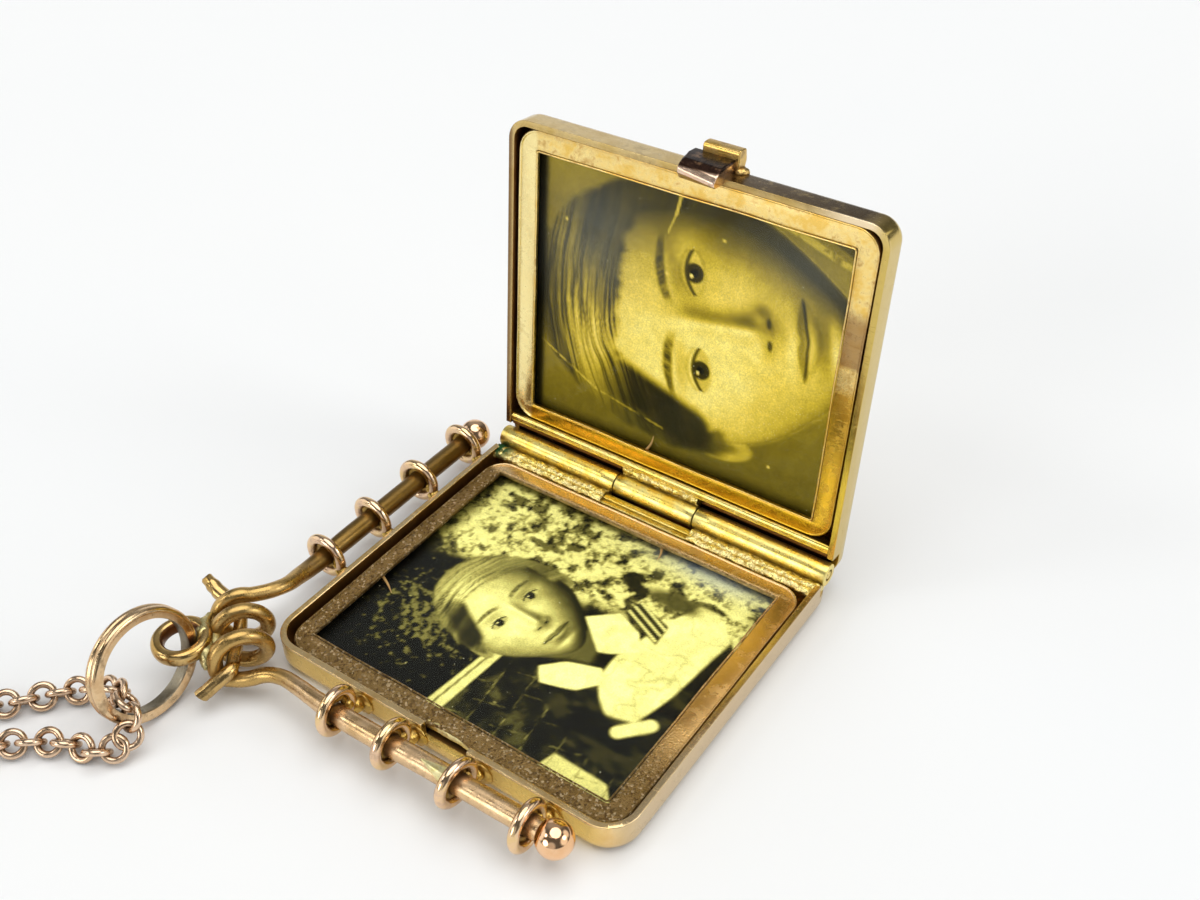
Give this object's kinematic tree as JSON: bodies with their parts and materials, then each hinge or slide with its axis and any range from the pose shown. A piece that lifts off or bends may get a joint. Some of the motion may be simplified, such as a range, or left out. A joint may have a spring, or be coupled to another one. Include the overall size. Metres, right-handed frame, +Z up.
{
  "type": "book locket",
  "caption": "Square hinged locket that opens like a book, with framed portrait prints under glass, wire side bars, bail ring and fine neck chain.",
  "frame": {"origin": "centre of the tray's back face, below the middle of the leaf, on the face that it rests on", "axes": "+Z up out of the tray, +X along the hinge, +Y towards the hinge, -Y towards the clasp"},
  "size_m": [0.1559, 0.157, 0.0229],
  "materials": {
    "tray_gold": "worn polished gold with tarnish",
    "frame_gold": "stippled rose gold, tarnished",
    "lid_gold": "worn polished gold",
    "lid_frame_gold": "pale worn gold",
    "wire_gold": "olive gold wire, satin",
    "rose_gold": "polished rose gold",
    "pane": "clear, scratched",
    "tray_print": "aged photographic print",
    "lid_print": "aged photographic print"
  },
  "bodies": {
    "root": {"tray": "tray_gold", "tray_frame": "frame_gold", "tray_glass": "pane", "tray_print": "tray_print", "hinge_pin": "lid_gold", "side_wire": "wire_gold", "cross_pin": "wire_gold", "bail_ring": "rose_gold", "chain": "rose_gold", "chain_clasp": "rose_gold"},
    "lid": {"lid": "lid_gold", "lid_frame": "lid_frame_gold", "lid_glass": "pane", "lid_print": "lid_print"}
  },
  "joints": [
    {"name": "lid_hinge", "type": "hinge", "parent": "root", "child": "lid", "pos_m": [0, 0.0097, 0.00205], "axis": [1, 0, 0], "range_deg": [0, 96.3]}
  ]
}
